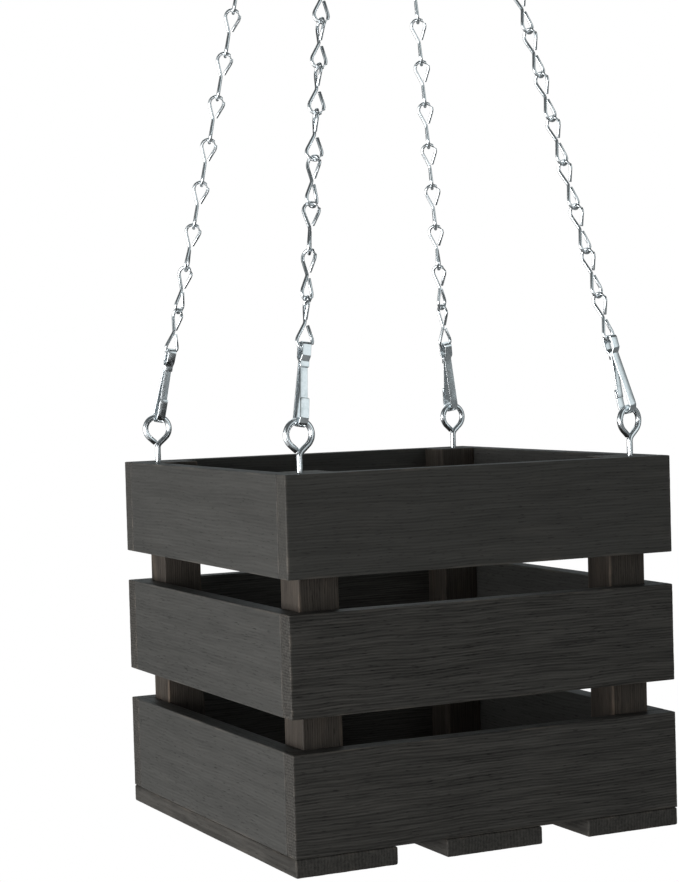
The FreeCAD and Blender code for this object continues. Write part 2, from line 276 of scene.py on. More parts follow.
stainedGrain = stainedGrainGroup()
drawnZinc = drawnZincGroup()


def newMaterial(name, metallic):
    material = bpy.data.materials.new(name)
    material.use_nodes = True
    shader = material.node_tree.nodes["Principled BSDF"]
    shader.inputs["Metallic"].default_value = metallic
    return material, material.node_tree, shader


def finishWith(tree, shader, group, bumpDepth, values):
    finish = addNode(tree, "ShaderNodeGroup", values, node_tree=group).outputs
    bump = addNode(tree, "ShaderNodeBump", {
        "Strength": 1.0, "Distance": bumpDepth * mm, "Height": finish["Height"]})
    tree.links.new(finish["Color"], shader.inputs["Base Color"])
    tree.links.new(finish["Roughness"], shader.inputs["Roughness"])
    tree.links.new(bump.outputs["Normal"], shader.inputs["Normal"])


def grainValues(look, place, gap):
    return {
        "Place": place, "Edge Gap": gap, "Stain": (*look["stain"], 1), "Thin Stain": (*look["thinStain"], 1),
        "Ridge Pitch": look["ridgePitch"] * mm, "Ridge Run": look["ridgeRun"] * mm,
        "Ridge Contrast": look["contrast"], "Thin Amount": look["thin"],
    }


def stainedWood(name, look):
    material, tree, shader = newMaterial(name, 0.0)
    shader.inputs["IOR"].default_value = look["gloss"]
    place = addNode(tree, "ShaderNodeAttribute", attribute_name="grainPlace").outputs["Vector"]
    gap = addNode(tree, "ShaderNodeAttribute", attribute_name="edgeGap").outputs["Fac"]
    finishWith(tree, shader, stainedGrain, look["bumpDepth"], grainValues(look, place, gap))
    return material


def brightZinc(name, look):
    material, tree, shader = newMaterial(name, 1.0)
    place = addNode(tree, "ShaderNodeAttribute", attribute_name="wirePlace").outputs["Vector"]
    finishWith(tree, shader, drawnZinc, look["bumpDepth"], {
        "Place": place, "Bright": (*look["bright"], 1), "Dull": (*look["dull"], 1), "Polish": look["polish"]})
    return material


# pitches, runs and depths in mm
woodLooks = {
    "smoothBoard": {"stain": (0.052, 0.050, 0.046), "thinStain": (0.126, 0.110, 0.094), "ridgePitch": 1.1,
                    "ridgeRun": 36, "contrast": 0.40, "thin": 0.08, "bumpDepth": 0.08, "gloss": 1.18},
    "ridgedBoard": {"stain": (0.048, 0.045, 0.041), "thinStain": (0.119, 0.103, 0.086), "ridgePitch": 1.05,
                    "ridgeRun": 34, "contrast": 0.95, "thin": 0.06, "bumpDepth": 0.26, "gloss": 1.20},
    "sideBoard": {"stain": (0.052, 0.051, 0.048), "thinStain": (0.112, 0.101, 0.088), "ridgePitch": 1.3,
                  "ridgeRun": 26, "contrast": 0.26, "thin": 0.05, "bumpDepth": 0.07, "gloss": 1.18},
    "thinPost": {"stain": (0.047, 0.040, 0.034), "thinStain": (0.144, 0.108, 0.081), "ridgePitch": 1.0,
                 "ridgeRun": 36, "contrast": 0.60, "thin": 0.20, "bumpDepth": 0.14, "gloss": 1.18},
    "floorSlat": {"stain": (0.048, 0.045, 0.041), "thinStain": (0.115, 0.099, 0.083), "ridgePitch": 1.3,
                  "ridgeRun": 34, "contrast": 0.60, "thin": 0.12, "bumpDepth": 0.12, "gloss": 1.18},
}
zincLooks = {
    "zincWire": {"bright": (0.90, 0.93, 0.95), "dull": (0.78, 0.83, 0.86), "polish": 0.17,
                 "bumpDepth": 0.004},
    "zincStrip": {"bright": (0.90, 0.93, 0.95), "dull": (0.80, 0.85, 0.87), "polish": 0.16,
                  "bumpDepth": 0.004},
}
woods = {name: stainedWood(name, look) for name, look in woodLooks.items()}
zincs = {name: brightZinc(name, look) for name, look in zincLooks.items()}
print("finishes ready")


# boards, slats and posts are blocks of sawn timber, with their grain standing up a little

timberPattern = {
    "crowding": (1.42, 1.15, 1.25),      # how far each direction's steps crowd towards the edges
    "seedShift": (0.31, 0.047, 0.083),      # how far apart in the log two pieces are cut
    "wavesPerMetre": (9, 110, 110), "ridgeRamp": (0.3, 0.7), "waveRamp": (0.25, 0.75),
}


def easedBlock(tree, given, half):
    block = addNode(tree, "GeometryNodeMeshCube", {
        "Size": (2, 2, 2), "Vertices X": given["Steps Along"], "Vertices Y": given["Steps Through"],
        "Vertices Z": given["Steps Across"]}).outputs["Mesh"]
    crowding = timberPattern["crowding"]
    even = addNode(tree, "GeometryNodeInputPosition").outputs[0]
    crowded = vector2(tree, "SINE", vector2(tree, "MULTIPLY", even, crowding))
    crowded = vector2(tree, "MULTIPLY", crowded, tuple(1 / math.sin(share) for share in crowding))
    spot = vector2(tree, "MULTIPLY", crowded, half)
    ease = combined(tree, given["Edge Round"], given["Edge Round"], given["Edge Round"])
    limit = vector2(tree, "SUBTRACT", half, ease)
    core = vector2(tree, "MAXIMUM", spot, vector2(tree, "MULTIPLY", limit, (-1, -1, -1)))
    core = vector2(tree, "MINIMUM", core, limit)
    away = vector2(tree, "NORMALIZE", vector2(tree, "SUBTRACT", spot, core))
    rounded = vector2(tree, "ADD", core, vector2(tree, "MULTIPLY", away, ease))
    return addNode(tree, "GeometryNodeSetPosition", {"Geometry": block, "Position": rounded}).outputs[0]


# each point keeps its place in the log, and its distance from the nearest edge
def markedTimber(tree, given, geometry, half):
    here = addNode(tree, "GeometryNodeInputPosition").outputs[0]
    shifts = [math2(tree, "MULTIPLY", given["Seed"], step) for step in timberPattern["seedShift"]]
    shift = combined(tree, *shifts)
    geometry = storeField(tree, geometry, "grainPlace", vector2(tree, "ADD", here, shift), "FLOAT_VECTOR")
    toFaces = vector2(tree, "SUBTRACT", half, vector2(tree, "ABSOLUTE", here))
    x, y, z = addNode(tree, "ShaderNodeSeparateXYZ", {0: toFaces}).outputs
    least = math2(tree, "MINIMUM", x, math2(tree, "MINIMUM", y, z))
    most = math2(tree, "MAXIMUM", x, math2(tree, "MAXIMUM", y, z))
    total = math2(tree, "ADD", x, math2(tree, "ADD", y, z))
    edgeGap = math2(tree, "SUBTRACT", math2(tree, "SUBTRACT", total, least), most)
    return storeField(tree, geometry, "edgeGap", edgeGap, "FLOAT")


def carvedTimber(tree, given, geometry):
    place = storedField(tree, "grainPlace", "FLOAT_VECTOR")
    stretch = ridgeStretch(tree, given)[1]
    ridges = noiseAt(tree, vector2(tree, "MULTIPLY", place, stretch), 1.0)
    waves = noiseAt(tree, vector2(tree, "MULTIPLY", place, timberPattern["wavesPerMetre"]), 1.0)
    sunk = math2(tree, "ADD", rampBetween(tree, ridges, *timberPattern["ridgeRamp"]),
                 rampBetween(tree, waves, *timberPattern["waveRamp"]))
    sunk = math2(tree, "MULTIPLY", math2(tree, "MULTIPLY", sunk, -0.5), given["Ridge Depth"])
    normal = addNode(tree, "GeometryNodeInputNormal").outputs[0]
    offset = vector2(tree, "MULTIPLY", normal, combined(tree, sunk, sunk, sunk))
    return addNode(tree, "GeometryNodeSetPosition", {"Geometry": geometry, "Offset": offset}).outputs[0]


def timberTree():
    tree, given, result = newTree("sawnTimber", "GeometryNodeTree", [
        ("Geometry", "Geometry"), ("Length", "Float"), ("Thickness", "Float"), ("Breadth", "Float"),
        ("Steps Along", "Int"), ("Steps Through", "Int"), ("Steps Across", "Int"), ("Edge Round", "Float"),
        ("Ridge Pitch", "Float"), ("Ridge Run", "Float"), ("Ridge Depth", "Float"), ("Seed", "Float"),
        ("Turn", "Vector"), ("Place", "Vector"), ("Material", "Material"),
    ], [("Geometry", "Geometry")])
    size = combined(tree, given["Length"], given["Thickness"], given["Breadth"])
    half = vector2(tree, "MULTIPLY", size, (0.5, 0.5, 0.5))
    timber = markedTimber(tree, given, easedBlock(tree, given, half), half)
    turn = addNode(tree, "FunctionNodeEulerToRotation", {0: given["Turn"]}).outputs[0]
    laid = addNode(tree, "GeometryNodeTransform", {
        "Geometry": carvedTimber(tree, given, timber), "Translation": given["Place"], "Rotation": turn})
    return endTree(tree, laid.outputs[0], given, result)


sawnTimber = timberTree()
# steps along, through and across the piece; lengths in mm
timberCuts = {
    "smoothBoard": {"steps": (84, 9, 70), "edgeRound": 0.5, "ridgePitch": 3.2, "ridgeRun": 60,
                    "ridgeDepth": 0.08},
    "ridgedBoard": {"steps": (92, 9, 96), "edgeRound": 0.5, "ridgePitch": 1.5, "ridgeRun": 40,
                    "ridgeDepth": 0.13},
    "sideBoard": {"steps": (84, 9, 70), "edgeRound": 0.5, "ridgePitch": 2.2, "ridgeRun": 34,
                  "ridgeDepth": 0.06},
    "thinPost": {"steps": (70, 26, 26), "edgeRound": 0.7, "ridgePitch": 1.8, "ridgeRun": 40,
                 "ridgeDepth": 0.12},
    "floorSlat": {"steps": (84, 12, 60), "edgeRound": 1.0, "ridgePitch": 2.4, "ridgeRun": 40,
                  "ridgeDepth": 0.12},
}


def boardCut(wall, tier):
    if wall in ("left", "right"):
        return "sideBoard"
    return "smoothBoard" if tier == "top" else "ridgedBoard"


def timberPiece(node, cut, seed):
    low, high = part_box(node)
    size = high - low
    longest, middling, shortest = sorted(range(3), key=lambda axis: -size[axis])
    unit = Matrix.Identity(3)
    lengthWay, breadthWay = Vector(unit[longest]), Vector(unit[middling])
    axes = Matrix((lengthWay, breadthWay.cross(lengthWay), breadthWay)).transposed()
    shape = timberCuts[cut]
    along, through, across = shape["steps"]
    piece = grownMesh(camel(node), sawnTimber, {
        "Length": size[longest], "Thickness": size[shortest], "Breadth": size[middling],
        "Steps Along": along, "Steps Through": through, "Steps Across": across,
        "Edge Round": shape["edgeRound"] * mm, "Ridge Pitch": shape["ridgePitch"] * mm,
        "Ridge Run": shape["ridgeRun"] * mm, "Ridge Depth": shape["ridgeDepth"] * mm, "Seed": float(seed),
        "Turn": tuple(axes.to_euler()), "Place": tuple(middleOf(node)), "Material": woods[cut],
    }, bpy.data.meshes.new(camel(node)))
    settle(piece, "basket", node)


timbers = [(f"{wall}_board_{tier}", boardCut(wall, tier)) for tier in tiers for wall in walls]
timbers += [("floor_slat_" + spot, "floorSlat") for spot in ("left", "middle", "right")]
timbers += [("corner_post_" + corner, "thinPost") for corner in corners]
for seed, (node, cut) in enumerate(timbers, 1):
    timberPiece(node, cut, seed)
print("timber cut and stained")


# bent wire and strip: lines in mm are given corner by corner, and swept with a round or flat profile

def arcCorners(centre, radius, start, end, runs=4):
    step = (end - start) / runs
    reach = radius / math.cos(step / 2)
    angles = [start + step * (index + 0.5) for index in range(runs)]
    return [(centre[0] + reach * math.cos(angle), centre[1] + reach * math.sin(angle)) for angle in angles]


# a loop's corners, from a foot on the right of its centre line round to one on the left
def teardrop(rightFoot, leftFoot, centreHeight, radius):
    rightLean = math.atan2(-rightFoot, centreHeight) + math.asin(radius / math.hypot(rightFoot, centreHeight))
    leftLean = math.atan2(-leftFoot, centreHeight) - math.asin(radius / math.hypot(leftFoot, centreHeight))
    return arcCorners((0, centreHeight), radius, -rightLean, math.pi - leftLean)


# fineness is the most degrees that one step of an arc turns
def bentLine(points, radii, fineness):
    line = [points[0]]
    for before, corner, after, radius in zip(points, points[1:], points[2:], radii):
        arriving = (corner - before).normalized()
        leaving = (after - corner).normalized()
        turn = arriving.angle(leaving)
        start = corner - arriving * radius * math.tan(turn / 2)
        centre = corner + (leaving - arriving).normalized() * radius / math.cos(turn / 2)
        axis = arriving.cross(leaving).normalized()
        count = max(2, math.ceil(math.degrees(turn) / fineness))
        for index in range(count + 1):
            spot = centre + Matrix.Rotation(turn * index / count, 3, axis) @ (start - centre)
            if (spot - line[-1]).length > samePlace:
                line.append(spot)
    if (points[-1] - line[-1]).length > samePlace:
        line.append(points[-1])
    return line


def lineLength(line):
    return sum((after - before).length for before, after in zip(line, line[1:]))


# more points close to both ends, where the wire's cut edges are eased
def withCloseEnds(line, ease, shares=(1.0,)):
    for share in shares:
        line.insert(1, line[0] + (line[1] - line[0]).normalized() * ease * share)
        line.insert(-1, line[-1] + (line[-2] - line[-1]).normalized() * ease * share)
    return line


# how large the profile is at each point of a line that thins to a share of it at both ends
def easedEnds(line, ease, endShare):
    length = lineLength(line)

    def size(travelled):
        left = min(travelled, length - travelled)
        return min(1.0, endShare + (1 - endShare) * max(left, 0) / ease)
    return size


def roundProfile(diameter, sides):
    angles = [math.tau * index / sides for index in range(sides)]
    return [(diameter / 2 * math.cos(angle), diameter / 2 * math.sin(angle)) for angle in angles]


def stripProfile(thickness, width, ease, steps=4):
    spots = []
    for quarter, (acrossSign, sideSign) in enumerate(((1, 1), (-1, 1), (-1, -1), (1, -1))):
        centre = (acrossSign * (thickness / 2 - ease), sideSign * (width / 2 - ease))
        for index in range(steps + 1):
            angle = math.pi / 2 * (quarter + index / steps)
            spots.append((centre[0] + ease * math.cos(angle), centre[1] + ease * math.sin(angle)))
    return spots


# the side, if given, is the direction that the profile's width keeps all along the line
def sweep(name, line, profile, material, side=None, closed=False, grow=None):
    spots = [Vector(spot) for spot in line]
    count = len(spots)
    tangents = []
    for index in range(count):
        ahead = spots[(index + 1) % count] if closed else spots[min(index + 1, count - 1)]
        behind = spots[index - 1] if closed or index else spots[0]
        tangents.append((ahead - behind).normalized())
    across = side.cross(tangents[0]) if side else tangents[0].orthogonal().normalized()
    verts, places, travelled = [], [], 0.0
    for index, (spot, tangent) in enumerate(zip(spots, tangents)):
        if side:
            across = side.cross(tangent).normalized()
        else:
            across = (across - tangent * across.dot(tangent)).normalized()
        up = tangent.cross(across)
        if index:
            travelled += (spot - spots[index - 1]).length
        size = grow(travelled) if grow else 1.0
        for first, second in profile:
            verts.append(spot + (across * first + up * second) * size)
            places.append((travelled, first, second))
    around = len(profile)
    faces = []
    for index in range(count if closed else count - 1):
        here, there = index * around, (index + 1) % count * around
        for step in range(around):
            following = (step + 1) % around
            faces.append((here + step, here + following, there + following, there + step))
    if not closed:
        for base, spot, travel in ((0, spots[0], 0.0), ((count - 1) * around, spots[-1], travelled)):
            verts.append(spot)
            places.append((travel, 0.0, 0.0))
            middle = len(verts) - 1
            for step in range(around):
                pair = (base + step, base + (step + 1) % around)
                faces.append((middle, pair[1], pair[0]) if base == 0 else (middle, pair[0], pair[1]))
    mesh = bpy.data.meshes.new(name)
    mesh.from_pydata([tuple(spot) for spot in verts], [], faces)
    mesh.update()
    volume = sum(mesh.vertices[face.vertices[0]].co.dot(face.normal) * face.area for face in mesh.polygons)
    if volume < 0:
        mesh.flip_normals()
    storeVectors(mesh, "wirePlace", places)
    mesh.polygons.foreach_set("use_smooth", [True] * len(mesh.polygons))
    mesh.materials.append(material)
    return newObject(name, mesh)


def laidAlong(points, base, across, up):
    side = up.cross(across)
    return [base + across * point.x + side * point.y + up * point.z for point in points]


# screw eyes; the turn is how far, in degrees, each was left from facing straight ahead
eyeShape = {
    "wire": 2.9, "radius": 6.3, "centreHeight": 17.0, "neckHeight": 8.6, "neckBend": 3.5, "shankDepth": 12.0,
    "tipLength": 3.0, "tipRadius": 0.2, "tipSteps": (0.5, 0.97, 1.12), "endGap": 0.15, "endEase": 0.25,
    "endShare": 0.86, "sides": 24, "fineness": 7,
    "turn": {"front_left": 0.0, "front_right": 12.0, "back_left": -6.0, "back_right": 4.0},
}


def eyeCentre(corner):
    low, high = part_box("screw_eye_" + corner)
    drop = (eyeShape["radius"] + eyeShape["wire"] / 2) * mm
    return Vector(((low.x + high.x) / 2, (low.y + high.y) / 2, high.z - drop))


def eyeLevel(corner):
    turn = math.radians(eyeShape["turn"][corner])
    return Vector((math.cos(turn), math.sin(turn), 0))


def eyeLine():
    shape = eyeShape
    rise = shape["centreHeight"] - shape["neckHeight"]
    lean = math.asin(shape["radius"] / rise)
    loop = teardrop(0, 0, rise, shape["radius"])
    endReach = (shape["wire"] / 2 + shape["endGap"]) / math.sin(2 * lean)
    flat = [(0, 0)] + loop + [(-endReach * math.sin(lean), endReach * math.cos(lean))]
    points = [Vector((0, 0, -shape["shankDepth"] - shape["tipLength"])) * mm]
    points += [Vector((x, 0, z + shape["neckHeight"])) * mm for x, z in flat]
    radii = [shape["neckBend"] * mm] + [shape["radius"] * mm] * len(loop)
    return bentLine(points, radii, shape["fineness"])


def screwEye(corner):
    shape = eyeShape
    line = eyeLine()
    length, tip = lineLength(line), shape["tipLength"] * mm
    least = shape["tipRadius"] / (shape["wire"] / 2)
    endShare = shape["endShare"]

    def thickness(travelled):
        pointed = min(1.0, least + (1 - least) * travelled / tip)
        left = (length - travelled) / mm
        eased = endShare + (1 - endShare) * max(left, 0) / shape["endEase"]
        return pointed * (1.0 if left > shape["endEase"] else eased)

    line[1:1] = [line[0] + Vector((0, 0, share * tip)) for share in shape["tipSteps"]]
    line.insert(-1, line[-1] - (line[-1] - line[-2]).normalized() * shape["endEase"] * mm)
    centre = eyeCentre(corner)
    base = Vector((centre.x, centre.y, centre.z - shape["centreHeight"] * mm))
    node = "screw_eye_" + corner
    piece = sweep(camel(node), laidAlong(line, base, eyeLevel(corner), Vector((0, 0, 1))),
                  roundProfile(shape["wire"] * mm, shape["sides"]), zincs["zincWire"], grow=thickness)
    settle(piece, "basket", node)


for corner in corners:
    screwEye(corner)
print("screw eyes bent")


# each corner's clip and chain lie on one straight line, from its eye up to its spot on the ring
strandShape = {"frontSpot": 1.8, "backSpot": 4.1, "rounds": 40}
ringLow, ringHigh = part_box("hanging_ring")
ringCentre = middleOf("hanging_ring")
ringWire = ringHigh.y - ringLow.y
ringRadius = (ringHigh.x - ringLow.x - ringWire) / 2


def strandOf(corner):
    side, depth = corners[corner]
    x = side * strandShape["frontSpot" if depth < 0 else "backSpot"] * mm
    spot = Vector((x, 0, ringCentre.z - math.sqrt(ringRadius ** 2 - x ** 2)))
    level, centre = eyeLevel(corner), eyeCentre(corner)
    start = centre + Vector((0, 0, eyeShape["radius"] * mm))
    for _ in range(strandShape["rounds"]):      # the clip slides round the eye to line up with its pull
        pull = (spot - start).normalized()
        outward = level * pull.dot(level) + Vector((0, 0, pull.z))
        start = centre + outward.normalized() * eyeShape["radius"] * mm
    return start, spot


# snap clips: a bent strip hooks into the eye and ends in the chain's small loop, and its gate is a leaf
clipShape = {
    "thickness": 0.8, "width": 4.3, "edgeEase": 0.22, "endShare": 0.88, "halfSpread": 4.2, "bend": 4.0,
    "noseReach": 9.8, "noseLean": 0.75, "neckHeight": 27.2, "neckHalf": 0.95, "eyeHeight": 8.5,
    "eyeHalfWidth": 2.7, "eyeRise": 2.2, "eyeBend": 1.6, "neckBend": 1.0, "tailLength": 2.8, "tailLean": 0.4,
    "slack": 0.2, "longestStep": 2.5, "endEase": 0.25, "fineness": 9,
}
gateShape = {
    "thickness": 0.5, "width": 3.6, "edgeEase": 0.15, "endShare": 0.92, "rootOffset": 0.2, "rootHeight": 0.8,
    "tipOffset": 2.95, "tipHeight": 5.5,
}


# how far a strip of this width stays above the bottom of a wire loop of this radius
def riseInside(radius, width):
    return radius - math.sqrt(radius ** 2 - (width / 2) ** 2)


def clipRoute():
    shape = clipShape
    half, eyeHalf, neckHalf = shape["halfSpread"], shape["eyeHalfWidth"], shape["neckHalf"]
    neck, neckBend = shape["neckHeight"], shape["neckBend"]
    eyeLow, eyeTop = neck + shape["eyeRise"], neck + shape["eyeHeight"]
    lift = riseInside(eyeShape["radius"] - eyeShape["wire"] / 2, shape["width"])
    bottom = -(eyeShape["wire"] / 2 + shape["slack"] + shape["thickness"] / 2 + lift)
    return [
        (-half + shape["noseLean"], shape["noseReach"], 0),
        (-half, bottom, shape["bend"]), (half, bottom, shape["bend"]),
        (neckHalf, neck, neckBend), (eyeHalf, eyeLow, neckBend),
        (eyeHalf, eyeTop, shape["eyeBend"]), (-eyeHalf, eyeTop, shape["eyeBend"]),
        (-eyeHalf, eyeLow, neckBend), (-neckHalf, neck, neckBend),
        (-neckHalf - shape["tailLean"], neck - shape["tailLength"], 0),
    ]


def gateRoute():
    root, height = -gateShape["rootOffset"], clipShape["neckHeight"]
    return [(root, height + gateShape["rootHeight"], 0), (root, height, clipShape["neckBend"]),
            (-gateShape["tipOffset"], gateShape["tipHeight"], 0)]


def stripLine(route):
    line = bentLine([Vector((x, 0, z)) * mm for x, z, bend in route],
                    [bend * mm for x, z, bend in route[1:-1]], clipShape["fineness"])
    fine = [line[0]]
    for before, after in zip(line, line[1:]):
        parts = max(1, math.ceil((after - before).length / (clipShape["longestStep"] * mm)))
        fine += [before.lerp(after, (index + 1) / parts) for index in range(parts)]
    return withCloseEnds(fine, clipShape["endEase"] * mm)


def clipStrip(node, body, corner, shape, route):
    start, end = strandOf(corner)
    pull = (end - start).normalized()
    spread = pull.cross(eyeLevel(corner)).normalized() * -corners[corner][0]
    line = stripLine(route)
    profile = stripProfile(shape["thickness"] * mm, shape["width"] * mm, shape["edgeEase"] * mm)
    piece = sweep(camel(node), laidAlong(line, start, spread, pull), profile, zincs["zincStrip"],
                  side=pull.cross(spread), grow=easedEnds(line, clipShape["endEase"] * mm, shape["endShare"]))
    settle(piece, body, node)


for corner in corners:
    clipStrip("clip_body_" + corner, "basket", corner, clipShape, clipRoute())
    clipStrip("clip_gate_" + corner, "gate_" + corner, corner, gateShape, gateRoute())
print("snap clips formed")


# jack chains: figure-eight links whose two loops stand square to each other
linkShape = {
    "pitch": 22.2, "wire": 1.6, "bend": 3.6, "count": 22, "waistOffset": 0.25, "endOffset": 0.62,
    "endCut": 1.15, "waistBend": 3.0, "slack": 0.2, "turnedSlack": 0.25, "sides": 12, "fineness": 20,
    "endEase": 0.2, "endShare": 0.82, "grainShift": 0.11,
    "turns": {"front_left": [-10, 28, 62, 26, -12, -5], "front_right": [20] * 9,
              "back_left": [14, 36, 58] + [69] * 6, "back_right": [10, 32, 54] + [66] * 6},
    "turnEase": 15.0,      # past the turns above, each link stands this much straighter than the last
}


def linkLine():
    shape = linkShape
    half = (shape["pitch"] + shape["wire"] + shape["slack"]) / 2
    offset = shape["waistOffset"]
    slant = math.hypot(half, offset)
    centre = slant - shape["bend"]
    loop = teardrop(offset, -shape["endOffset"], centre, shape["bend"])
    lean = math.atan2(shape["bend"] - shape["endOffset"], centre)
    end = (-shape["endOffset"] - shape["endCut"] * math.tan(lean), shape["endCut"])

    def upper(spot):
        return Vector((spot[0], offset - spot[1] * offset / slant, spot[1] * half / slant)) * mm

    def lower(spot):
        return Vector((offset - spot[1] * offset / slant, spot[0], -spot[1] * half / slant)) * mm

    points = [upper(end)] + [upper(spot) for spot in reversed(loop)] + [Vector((offset, offset, 0)) * mm]
    points += [lower(spot) for spot in loop] + [lower(end)]
    bends = [shape["bend"] * mm] * len(loop)
    line = bentLine(points, bends + [shape["waistBend"] * mm] + bends, shape["fineness"])
    return withCloseEnds(line, shape["endEase"] * mm)


repeatInputs = [("Geometry", "Geometry"), ("Path", "Object"), ("Diameter", "Float"), ("Sides", "Int"),
                ("Material", "Material")]


def givenPath(tree, given):
    return addNode(tree, "GeometryNodeObjectInfo", {"Object": given["Path"]}).outputs["Geometry"]


def givenRim(tree, given):
    radius = math2(tree, "MULTIPLY", given["Diameter"], 0.5)
    inputs = {"Resolution": given["Sides"], "Radius": radius}
    return addNode(tree, "GeometryNodeCurvePrimitiveCircle", inputs).outputs[0]


# one wire along the path, its thickness scaled by the path's own radius, placed at every given point
def repeatedWire(tree, given, path, rim, rotation):
    thickness = addNode(tree, "GeometryNodeInputRadius").outputs[0]
    wire = addNode(tree, "GeometryNodeCurveToMesh", {
        "Curve": path, "Profile Curve": rim, "Fill Caps": True, "Scale": thickness}).outputs[0]
    points = addNode(tree, "GeometryNodeMeshToPoints", {0: given["Geometry"]}).outputs[0]
    inputs = {"Points": points, "Instance": wire, "Rotation": rotation}
    return addNode(tree, "GeometryNodeInstanceOnPoints", inputs).outputs[0]


def chainTree():
    tree, given, result = newTree("jackChain", "GeometryNodeTree", repeatInputs, [("Geometry", "Geometry")])
    length = addNode(tree, "GeometryNodeSplineParameter").outputs["Length"]
    path = storeField(tree, givenPath(tree, given), "travelled", length, "FLOAT")
    here = addNode(tree, "GeometryNodeInputPosition").outputs[0]
    rim = storeField(tree, givenRim(tree, given), "rimSpot", here, "FLOAT_VECTOR")
    turn = addNode(tree, "FunctionNodeAxesToRotation", {
        0: storedField(tree, "linkPull", "FLOAT_VECTOR"), 1: storedField(tree, "linkAcross", "FLOAT_VECTOR")},
        primary_axis="Z", secondary_axis="X").outputs[0]
    strung = repeatedWire(tree, given, path, rim, turn)
    real = addNode(tree, "GeometryNodeRealizeInstances", {"Geometry": strung}).outputs[0]
    along = math2(tree, "ADD", storedField(tree, "travelled", "FLOAT"),
                  storedField(tree, "linkShift", "FLOAT"))
    spot = addNode(tree, "ShaderNodeSeparateXYZ", {0: storedField(tree, "rimSpot", "FLOAT_VECTOR")}).outputs
    place = combined(tree, along, spot[0], spot[1])
    return endTree(tree, storeField(tree, real, "wirePlace", place, "FLOAT_VECTOR"), given, result)


def turnsOf(corner):
    turns = list(linkShape["turns"][corner])
    while len(turns) < linkShape["count"]:
        turns.append(math.copysign(max(abs(turns[-1]) - linkShape["turnEase"], 0), turns[-1]))
    return turns


def chainSpots(corner):
    shape, clip, count = linkShape, clipShape, linkShape["count"]
    start, end = strandOf(corner)
    pull, length = (end - start).normalized(), (end - start).length
    rise = riseInside(shape["bend"] - shape["wire"] / 2, clip["width"]) + shape["turnedSlack"]
    first = clip["neckHeight"] + clip["eyeHeight"] - clip["thickness"] / 2
    first = first - shape["slack"] - shape["wire"] / 2 - rise
    nominal = first + count * shape["pitch"] + (shape["wire"] - ringWire / mm) / 2
    pitch = shape["pitch"] + (length / mm - nominal) / count
    half = (shape["pitch"] + shape["wire"] + shape["slack"]) / 2
    square = pull.cross(Vector((1, 0, 0))).normalized()
    spots = [start + pull * (first + index * pitch + half) * mm for index in range(count)]
    mesh = bpy.data.meshes.new("chainSpots")
    mesh.from_pydata([tuple(spot) for spot in spots], [], [])
    storeVectors(mesh, "linkPull", [pull] * count)
    turns = [Matrix.Rotation(math.radians(turn), 3, pull) for turn in turnsOf(corner)]
    storeVectors(mesh, "linkAcross", [turn @ square for turn in turns])
    shifts = [shape["grainShift"] * (index + 1) for index in range(count)]
    mesh.attributes.new("linkShift", "FLOAT", "POINT").data.foreach_set("value", shifts)
    return mesh


def pathObject(name, spots, radii):
    data = bpy.data.curves.new(name, "CURVE")
    data.dimensions = "3D"
    spline = data.splines.new("POLY")
    spline.points.add(len(spots) - 1)
    for point, spot, radius in zip(spline.points, spots, radii):
        point.co = (*spot, 1)
        point.radius = radius
    return newObject(name, data)


def makeChains():
    line = linkLine()
    radii = [linkShape["endShare"]] + [1.0] * (len(line) - 2) + [linkShape["endShare"]]
    path = pathObject("linkPath", line, radii)
    tree = chainTree()
    for corner in corners:
        node = "chain_" + corner
        piece = grownMesh(camel(node), tree, {
            "Path": path, "Diameter": linkShape["wire"] * mm, "Sides": linkShape["sides"],
            "Material": zincs["zincWire"]}, chainSpots(corner))
        settle(piece, "basket", node)
    bpy.data.objects.remove(path)


makeChains()
print("chains strung")


ringShape = {"steps": 96, "sides": 28}


def hangingRing():
    angles = [math.tau * index / ringShape["steps"] for index in range(ringShape["steps"])]
    line = [ringCentre + Vector((math.cos(angle), 0, math.sin(angle))) * ringRadius for angle in angles]
    profile = roundProfile(ringWire, ringShape["sides"])
    piece = sweep("hangingRing", line, profile, zincs["zincWire"], closed=True)
    settle(piece, "ring", "hanging_ring")


# the hook hangs by the inside of its mouth, which is at the origin, and its closed loop holds the ring
hookShape = {
    "wire": 3.5, "mouthRadius": 9.75, "loopRadius": 6.25, "centres": 18.0, "tipAngle": 195.0, "slack": 0.2,
    "endEase": 0.5, "endSteps": (1.0, 0.5), "endShare": 0.78, "sides": 28, "fineness": 6,
}


def sHook():
    shape = hookShape
    mouthRadius, loopRadius = shape["mouthRadius"], shape["loopRadius"]
    topZ = shape["wire"] / 2 - mouthRadius
    loopZ = topZ - shape["centres"]
    cross = math.asin((mouthRadius + loopRadius) / shape["centres"])
    tip = math.radians(shape["tipAngle"])
    mouth = arcCorners((0, topZ), mouthRadius, tip, -cross)
    closing = math.acos(1 - (shape["wire"] + shape["slack"]) / loopRadius)
    loopStart = math.pi - cross
    loopEnd = loopStart + math.tau - closing
    loop = arcCorners((0, loopZ), loopRadius, loopStart, loopEnd)
    first = (mouthRadius * math.cos(tip), topZ + mouthRadius * math.sin(tip))
    last = (loopRadius * math.cos(loopEnd), loopZ + loopRadius * math.sin(loopEnd))
    points = [Vector((0, y, z)) * mm for y, z in [first] + mouth + loop + [last]]
    radii = [mouthRadius * mm] * len(mouth) + [loopRadius * mm] * len(loop)
    ease = shape["endEase"] * mm
    line = withCloseEnds(bentLine(points, radii, shape["fineness"]), ease, shape["endSteps"])
    piece = sweep("sHook", line, roundProfile(shape["wire"] * mm, shape["sides"]), zincs["zincWire"],
                  grow=easedEnds(line, ease, shape["endShare"]))
    settle(piece, "hook", "s_hook")


hangingRing()
sHook()
print("ring and hook bent")


